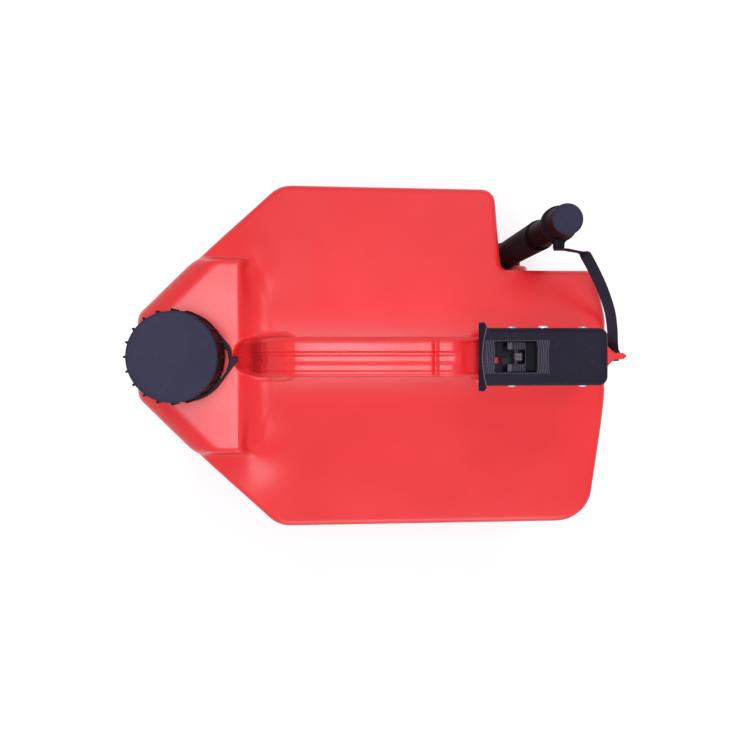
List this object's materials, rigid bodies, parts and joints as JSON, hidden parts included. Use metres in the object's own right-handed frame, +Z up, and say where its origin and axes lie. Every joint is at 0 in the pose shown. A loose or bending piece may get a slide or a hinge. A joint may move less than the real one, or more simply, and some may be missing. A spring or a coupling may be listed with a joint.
{
  "type": "gas can",
  "caption": "Bottom-pour fuel can with a top handle, thumb trigger and push rod, foot valve, swivel spout with tethered dust cap, and a screw fill cap.",
  "frame": {"origin": "on the flat base, under the middle of the tank", "axes": "+X to the front where the spout pours, +Y to the spout side, +Z up"},
  "size_m": [0.421, 0.3037, 0.3138],
  "materials": {
    "tank_red": "satin moulded polyethylene",
    "black_plastic": "satin moulded plastic",
    "strap_plastic": "flexible moulded strap",
    "hose_rubber": "ribbed rubber hose",
    "seal_rubber": "smooth rubber",
    "zinc_steel": "zinc plated",
    "natural_plastic": "natural moulded plastic"
  },
  "bodies": {
    "can": {"tank": "tank_red", "cap_lock_ring": "black_plastic", "trigger_cover": "black_plastic", "cover_screws": "zinc_steel", "trigger_pin": "zinc_steel", "vent_gland": "natural_plastic", "valve_body": "natural_plastic", "valve_cage": "natural_plastic", "valve_spring": "zinc_steel", "outlet_gasket": "seal_rubber", "outlet_nut": "black_plastic", "spigot_o_ring": "seal_rubber", "tether_strap": "strap_plastic", "tether_rivet": "black_plastic"},
    "cap_carrier": {"cap_seal": "seal_rubber"},
    "fill_cap": {"fill_cap": "black_plastic"},
    "trigger": {"trigger": "black_plastic"},
    "push_rod": {"push_rod": "zinc_steel", "rod_head": "zinc_steel", "rod_cross_pin": "zinc_steel", "vent_seal": "seal_rubber", "valve_poppet": "zinc_steel", "poppet_seal": "seal_rubber"},
    "spout": {"spout_elbow": "black_plastic", "elbow_clip": "zinc_steel", "spout_hose": "hose_rubber", "spout_collar": "black_plastic", "spout_nozzle": "black_plastic", "nozzle_seal": "seal_rubber"},
    "dust_cap": {"dust_cap": "black_plastic"}
  },
  "joints": [
    {"name": "cap_lift", "type": "slide", "parent": "can", "child": "cap_carrier", "axis": [0, 0, 1], "range_m": [0, 0.0061]},
    {"name": "cap_turn", "type": "hinge", "parent": "cap_carrier", "child": "fill_cap", "pos_m": [-0.164, 0, 0.26], "axis": [0, 0, 1], "range_deg": [0, 540]},
    {"name": "rod_press", "type": "slide", "parent": "can", "child": "push_rod", "axis": [0, 0, -1], "range_m": [0, 0.00405], "stiffness_N_per_m": 1500, "springref_m": -0.008, "deforming": ["valve_spring"]},
    {"name": "trigger_press", "type": "hinge", "parent": "can", "child": "trigger", "pos_m": [0.124, 0, 0.3055], "axis": [0, -1, 0], "range_deg": [0, 12]},
    {"name": "spout_turn", "type": "hinge", "parent": "can", "child": "spout", "pos_m": [0.146, 0.1, 0.05], "axis": [0, 1, 0], "range_deg": [0, 180], "deforming": ["tether_strap"]},
    {"name": "dust_cap_pull", "type": "slide", "parent": "spout", "child": "dust_cap", "axis": [0, 0, 1], "range_m": [0, 0.035], "deforming": ["tether_strap"]}
  ],
  "couplings": [
    {"joint": "cap_lift", "follows": "cap_turn", "m_per_rad": 0.00063662},
    {"joint": "trigger_press", "follows": "rod_press", "rad_per_m": 51.282}
  ]
}
